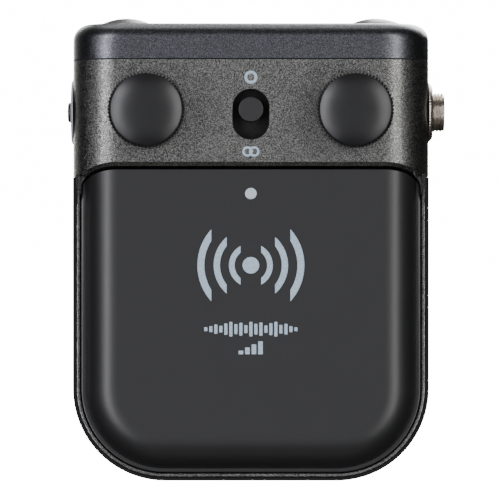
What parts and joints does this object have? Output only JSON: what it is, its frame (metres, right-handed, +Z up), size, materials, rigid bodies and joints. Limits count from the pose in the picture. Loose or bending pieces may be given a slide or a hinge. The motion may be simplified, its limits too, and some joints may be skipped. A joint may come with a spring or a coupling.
{
  "type": "wireless audio belt-pack receiver",
  "caption": "Small body-worn wireless audio receiver: speckled upper block with volume knobs and a mode slider, smooth cover below, threaded jack on the side, sprung belt clip behind.",
  "frame": {"origin": "middle of the flat bottom of the case, half way through the case's depth", "axes": "+X to the right seen from the front, the front faces -Y, +Z up"},
  "size_m": [0.0575, 0.0322, 0.0703],
  "materials": {
    "black_plastic": "moulded black, fine satin texture",
    "speckled_paint": "dark grey paint with fine metallic fleck",
    "speckled_blue_paint": "dark grey paint, slightly blue, finer fleck",
    "satin_plastic": "smooth soft satin",
    "soft_knob": "soft-touch, fine serrated skirt",
    "slider_plastic": "moulded, satin",
    "button_plastic": "moulded, satin",
    "bezel_paint": "light grey satin",
    "nickel": "bright nickel plate, slightly warm",
    "diffuser": "pale blue-grey translucent",
    "steel": "tinned sheet and turned steel",
    "black_steel": "black coated sheet steel",
    "screw_steel": "black zinc",
    "spring_brass": "bright",
    "white_plastic": "moulded",
    "circuit_board": "green solder mask",
    "battery_foil": "dull foil pouch",
    "foam": "closed-cell foam"
  },
  "bodies": {
    "case": {"rear_shell": "black_plastic", "front_housing": "speckled_paint", "front_cover": "satin_plastic", "top_cap": "speckled_blue_paint", "pot_body_left": "steel", "pot_body_right": "steel", "mode_switch_can": "steel", "power_button_bezel": "bezel_paint", "power_switch": "black_plastic", "top_switch_left": "black_plastic", "top_switch_right": "black_plastic", "light_window_left": "diffuser", "light_window_right": "diffuser", "window_led_left": "white_plastic", "window_led_right": "white_plastic", "jack_bushing": "nickel", "jack_nut": "nickel", "jack_body": "black_plastic", "jack_tip_spring": "spring_brass", "jack_ring_spring": "spring_brass", "main_board": "circuit_board", "radio_shield": "steel", "antenna": "spring_brass", "status_led": "white_plastic", "light_pipe": "diffuser", "usb_port": "steel", "battery_cell": "battery_foil", "battery_pad": "foam", "battery_connector": "white_plastic", "case_screw_1": "screw_steel", "case_screw_2": "screw_steel", "case_screw_3": "screw_steel", "case_screw_4": "screw_steel", "clip_bracket": "black_steel", "clip_pin": "steel", "clip_spring": "steel", "clip_screw_left": "screw_steel", "clip_screw_right": "screw_steel"},
    "volume_left": {"volume_knob_left": "soft_knob", "pot_shaft_left": "steel"},
    "volume_right": {"volume_knob_right": "soft_knob", "pot_shaft_right": "steel"},
    "mode": {"mode_slider": "slider_plastic"},
    "power": {"power_button": "black_plastic", "power_switch_plunger": "white_plastic"},
    "top_left": {"top_button_left": "button_plastic", "top_switch_plunger_left": "white_plastic"},
    "top_right": {"top_button_right": "button_plastic", "top_switch_plunger_right": "white_plastic"},
    "clip": {"belt_clip": "black_plastic"}
  },
  "joints": [
    {"name": "volume_left_turn", "type": "hinge", "parent": "case", "child": "volume_left", "pos_m": [-0.0156, -0.01, 0.056], "axis": [0, -1, 0], "range_deg": [-150, 150]},
    {"name": "volume_right_turn", "type": "hinge", "parent": "case", "child": "volume_right", "pos_m": [0.0156, -0.01, 0.056], "axis": [0, -1, 0], "range_deg": [-150, 150]},
    {"name": "mode_slide", "type": "slide", "parent": "case", "child": "mode", "axis": [0, 0, 1], "range_m": [-0.0015, 0]},
    {"name": "power_press", "type": "slide", "parent": "case", "child": "power", "axis": [1, 0, 0], "range_m": [0, 0.0003], "stiffness_N_per_m": 200, "springref_m": -0.001},
    {"name": "top_left_press", "type": "slide", "parent": "case", "child": "top_left", "axis": [0, 0, -1], "range_m": [0, 0.0003], "stiffness_N_per_m": 200, "springref_m": -0.001},
    {"name": "top_right_press", "type": "slide", "parent": "case", "child": "top_right", "axis": [0, 0, -1], "range_m": [0, 0.0003], "stiffness_N_per_m": 200, "springref_m": -0.001},
    {"name": "clip_open", "type": "hinge", "parent": "case", "child": "clip", "pos_m": [0, 0.0133, 0.0504], "axis": [1, 0, 0], "range_deg": [0, 12], "stiffness_Nm_per_rad": 0.12, "springref_deg": -22.92}
  ]
}
